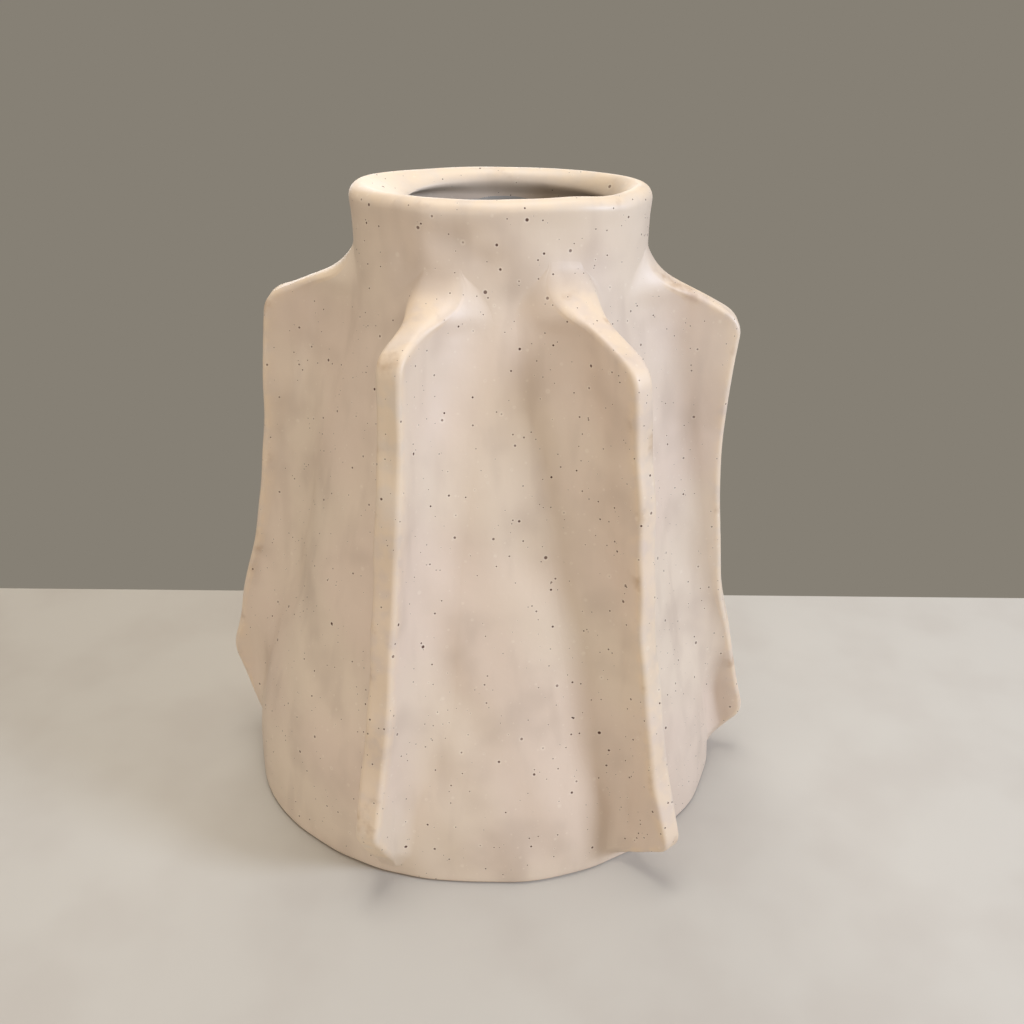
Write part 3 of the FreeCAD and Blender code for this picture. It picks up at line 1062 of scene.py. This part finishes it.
@dataclass(frozen=True)
class Specks:
    """One size of iron specks: dots that burn through the glaze, scattered through the clay.

    The fades of a dot and of the pale ring round it are counted in the dot's own radius.
    """

    spacing: float
    radius: float
    strength: float
    offset: Triple
    least_radius: float = 0.5
    least_depth: float = 0.6
    dot_fade: Pair = (0.75, 1.1)
    ring_start: Pair = (0.9, 1.2)
    ring_end: Pair = (1.3, 2.1)

    def dots(self, bench: Bench, place: Value) -> tuple[Value, Value]:
        """Dots at the middles of the cells of a Voronoi pattern, each cell's own size and depth.

        Args:
            bench: the node tree.
            place: Object coordinates.

        Returns:
            The dots and the pale rings round them, each from 0 to 1.
        """
        moved = bench.vector("ADD", place, self.offset)
        scale = 1.0 / (self.spacing * METRES)
        inputs = {"Vector": moved, "Scale": scale, "Randomness": 1.0}
        away = bench.node("ShaderNodeTexVoronoi", inputs, output="Distance", voronoi_dimensions="3D")
        draw = bench.node("ShaderNodeTexVoronoi", inputs, output="Color", voronoi_dimensions="3D")
        size = bench.node("ShaderNodeSeparateColor", {0: draw}, output="Red")
        depth = bench.node("ShaderNodeSeparateColor", {0: draw}, output="Green")
        radius = (size * (1.0 - self.least_radius) + self.least_radius) * (self.radius / self.spacing)
        near = away / radius
        dot = (1.0 - near.step(*self.dot_fade)) * (depth * (1.0 - self.least_depth) + self.least_depth)
        return dot, (1.0 - near.step(*self.ring_end)) * near.step(*self.ring_start)


@dataclass(frozen=True)
class Glaze:
    """A satin glaze over speckled stoneware, thin and tan where it breaks over an edge."""

    name: str
    cream: Tint
    rosy: Tint
    smoke: Tint
    tan: Tint
    rust: Tint = (150, 108, 62)
    speck: Tint = (70, 28, 10)
    ring: Tint = (238, 226, 206)
    bare: Tint = (176, 150, 122)
    broad: Patches = Patches(62.0, 1.0, 0.38, 0.62)
    clouds: Patches = Patches(24.0, 2.0, 0.45, 0.78, 0.60)
    streaks: Patches = Patches(10.0, 2.0, 0.50, 0.75, 0.35)
    streak_squeeze: Triple = (1.0, 1.0, 0.2)
    breaks: Patches = Patches(7.0, 2.0, 0.30, 0.62, 0.55)
    stains: Patches = Patches(12.0, 4.0, 0.58, 0.74, 0.40)
    ring_strength: float = 0.22
    bare_levels: Pair = (0.5 * METRES, 1.1 * METRES)
    roughness: float = 0.42
    rough_drift: float = 0.16
    rough_bare: float = 0.4
    rough_speck: float = 0.25
    grain_length: float = 2.6
    grain_detail: float = 3.0
    grain_height: float = 0.35
    drift_height: float = 0.65
    pit_depth: float = 1.1
    relief_height: float = 0.22 * METRES
    relief_strength: float = 0.55
    specks: tuple[Specks, ...] = (
        Specks(7.6, 0.70, 1.0, (0.0, 0.11, 0.23)),
        Specks(4.7, 0.46, 1.0, (0.37, 0.11, 0.23)),
        Specks(3.4, 0.33, 0.85, (0.74, 0.11, 0.23)),
    )

    def material(self) -> bpy.types.Material:
        """Builds the glaze from noise and scattered dots on Object coordinates.

        Returns:
            The material.
        """
        material = bpy.data.materials.new(self.name)
        bench = Bench(material)
        place = bench.node("ShaderNodeTexCoord", output="Object")
        upright = bench.vector("MULTIPLY", place, self.streak_squeeze)
        edge = bench.node("ShaderNodeAttribute", output="Fac", attribute_name=EDGE_ATTRIBUTE)
        drift = bench.noise(place, self.breaks.length, self.breaks.detail)
        layers = (
            (bench.patches(place, self.broad), self.rosy),
            (bench.patches(place, self.clouds), self.smoke),
            (bench.patches(upright, self.streaks), self.smoke),
            (edge * bench.patches(place, self.breaks), self.tan),
            (edge * bench.patches(place, self.stains), self.rust),
        )
        colour = shade(*self.cream)
        for share, tint in layers:
            colour = bench.mix(share, colour, shade(*tint))
        dots = []
        for specks in self.specks:
            dot, ring = specks.dots(bench, place)
            dots.append(dot * specks.strength)
            colour = bench.mix(ring * (self.ring_strength * specks.strength), colour, shade(*self.ring))
            colour = bench.mix(dots[-1], colour, shade(*self.speck))
        pits = sum(dots)
        level = bench.node("ShaderNodeSeparateXYZ", {0: place}, output="Z")
        foot = 1.0 - level.step(*self.bare_levels)
        colour = bench.mix(foot, colour, shade(*self.bare))
        rough = drift * self.rough_drift + self.roughness
        rough = rough + foot * self.rough_bare + pits * self.rough_speck
        grain = bench.noise(place, self.grain_length, self.grain_detail)
        relief = grain * self.grain_height + drift * self.drift_height - pits * self.pit_depth
        inputs = {"Height": relief, "Distance": self.relief_height, "Strength": self.relief_strength}
        shader = bench.node("ShaderNodeBsdfPrincipled", {
            "Base Color": colour, "Roughness": rough, "Normal": bench.node("ShaderNodeBump", inputs),
            "IOR": 1.5, "Specular IOR Level": 0.5,
        })
        bench.node("ShaderNodeOutputMaterial", {"Surface": shader}, output=None)
        return material


OUTER_GLAZE = Glaze(
    "outer_glaze", cream=(215, 197, 175), rosy=(213, 193, 173), smoke=(191, 172, 153), tan=(226, 202, 170),
)
# Inside glaze: the grey, cool tint is the glaze's own, and its darkness is painted shade for the hollow
# inside of the vase.
INNER_GLAZE_WITH_PAINTED_SHADE = Glaze(
    "inner_glaze_painted_shade", cream=(176, 171, 163), rosy=(171, 166, 157), smoke=(156, 152, 146), tan=(180, 171, 148),
)


@dataclass(frozen=True)
class Lamp:
    """A square soft lamp that faces the middle of the vase, of some side, watts and colour of light."""

    name: str
    place: Triple
    side: float
    power: float
    colour: Triple
    target: Triple = (0.0, 0.0, 0.12)

    def hang(self) -> None:
        """Adds the lamp to the scene."""
        data = bpy.data.lights.new(self.name, "AREA")
        data.shape = "SQUARE"
        data.size = self.side
        data.energy = self.power
        data.color = self.colour
        lamp = bpy.data.objects.new(self.name, data)
        lamp.location = self.place
        lamp.rotation_mode = "QUATERNION"
        lamp.rotation_quaternion = (Vector(self.target) - lamp.location).to_track_quat("-Z", "Y")
        bpy.context.scene.collection.objects.link(lamp)


@dataclass(frozen=True)
class Studio:
    """The pale floor, the soft lights and the camera."""

    floor_half_width: float = 0.90
    floor_front: float = -0.90
    floor_back: float = 0.128
    floor_cells: tuple[int, int] = (12, 8)
    floor_tints: tuple[Tint, ...] = ((192, 186, 175), (187, 180, 169))
    floor_patches: Patches = Patches(60.0, 3.0, 0.4, 0.7)
    floor_roughness: float = 0.9
    floor_shine: float = 0.2
    ambient: tuple[float, float, float, float] = (1.0, 0.83, 0.68, 1.0)
    ambient_strength: float = 0.30
    backdrop: Tint = (134, 128, 117)
    camera_place: Triple = (0.0098, -0.388, 0.329)
    camera_pitch: float = math.radians(28.0)
    camera_roll: float = math.radians(0.56)
    camera_clip: Pair = (0.01, 20.0)
    sensor_width: float = 36.0
    focal_pixels: float = 1027.0
    image_pixels: float = 1024.0
    lamps: tuple[Lamp, ...] = (
        Lamp("key", (1.05, -0.46, 0.60), 0.30, 13.0, (0.68, 0.79, 1.0)),
        Lamp("fill", (-0.52, -1.02, 0.34), 0.60, 4.0, (0.98, 0.97, 0.97)),
        Lamp("top", (-0.05, 0.02, 1.00), 0.50, 4.8, (1.0, 1.0, 0.98)),
        Lamp("back", (-0.20, 1.10, 0.55), 0.90, 6.5, (0.95, 0.97, 1.0)),
    )

    def floor(self) -> None:
        """A plain pale floor: a flat grid that ends a little way behind the vase, as a shelf does."""
        columns, rows = self.floor_cells
        across = np.linspace(-self.floor_half_width, self.floor_half_width, columns + 1)
        along = np.linspace(self.floor_front, self.floor_back, rows + 1)
        x, y = np.meshgrid(across, along)
        faces = quads(np.arange(x.size).reshape(x.shape))
        mesh = bpy.data.meshes.new("floor")
        mesh.from_pydata(np.stack([x, y, 0.0 * x], axis=-1).reshape(-1, 3).tolist(), [], faces.tolist())
        floor = bpy.data.objects.new("floor", mesh)
        bpy.context.scene.collection.objects.link(floor)
        material = bpy.data.materials.new("floor_finish")
        bench = Bench(material)
        place = bench.node("ShaderNodeTexCoord", output="Object")
        first, second = self.floor_tints
        colour = bench.mix(bench.patches(place, self.floor_patches), shade(*first), shade(*second))
        inputs = {"Base Color": colour, "Roughness": self.floor_roughness}
        inputs["Specular IOR Level"] = self.floor_shine
        shader = bench.node("ShaderNodeBsdfPrincipled", inputs)
        bench.node("ShaderNodeOutputMaterial", {"Surface": shader}, output=None)
        mesh.materials.append(material)

    def world(self) -> None:
        """Even soft light all round, where the camera and reflections see a plain grey wall instead."""
        world = bpy.data.worlds.new("studio")
        bench = Bench(world)
        camera, glossy, through = [
            bench.node("ShaderNodeLightPath", output=f"Is {kind} Ray")
            for kind in ("Camera", "Glossy", "Transmission")
        ]
        seen = camera.math("MAXIMUM", glossy).math("MAXIMUM", through)
        light, wall = [
            bench.node("ShaderNodeBackground", {"Color": colour, "Strength": strength})
            for colour, strength in ((self.ambient, self.ambient_strength), (shade(*self.backdrop), 1.0))
        ]
        mixed = bench.node("ShaderNodeMixShader", {0: seen, 1: light, 2: wall})
        bench.node("ShaderNodeOutputWorld", {"Surface": mixed}, output=None)
        bpy.context.scene.world = world

    def camera(self) -> None:
        """The camera at the photograph's viewing angle: pitched down, then rolled about its own axis."""
        data = bpy.data.cameras.new("camera")
        data.sensor_width = self.sensor_width
        data.lens = self.sensor_width * self.focal_pixels / self.image_pixels
        data.clip_start, data.clip_end = self.camera_clip
        pitch = Quaternion((1.0, 0.0, 0.0), math.pi / 2.0 - self.camera_pitch)
        camera = bpy.data.objects.new("camera", data)
        camera.location = self.camera_place
        camera.rotation_mode = "QUATERNION"
        camera.rotation_quaternion = pitch @ Quaternion((0.0, 0.0, 1.0), self.camera_roll)
        bpy.context.scene.collection.objects.link(camera)
        bpy.context.scene.camera = camera

    def build(self) -> None:
        """Sets up the floor, the light and the camera."""
        self.floor()
        self.world()
        for lamp in self.lamps:
            lamp.hang()
        self.camera()
        bpy.context.scene.view_settings.view_transform = "Standard"


def main() -> None:
    """Builds the vase piece by piece and sets the scene."""
    logging.basicConfig(level=logging.INFO, format="%(name)s %(message)s")
    form = BodyForm()
    hand = Handwork(half_width=117.0, half_depth=101.5, height=form.height, dents=PRESSES)
    potter = Potter(form, hand, (OUTER_GLAZE.material(), INNER_GLAZE_WITH_PAINTED_SHADE.material()))
    Base(potter).build()
    Walls(potter).build()
    Lip(potter).build()
    for place, degrees, cut, root_rounds in FINS:
        Fin(potter, place, math.radians(degrees), cut, root_rounds).build()
    Studio().build()


if __name__ == "__main__":
    main()
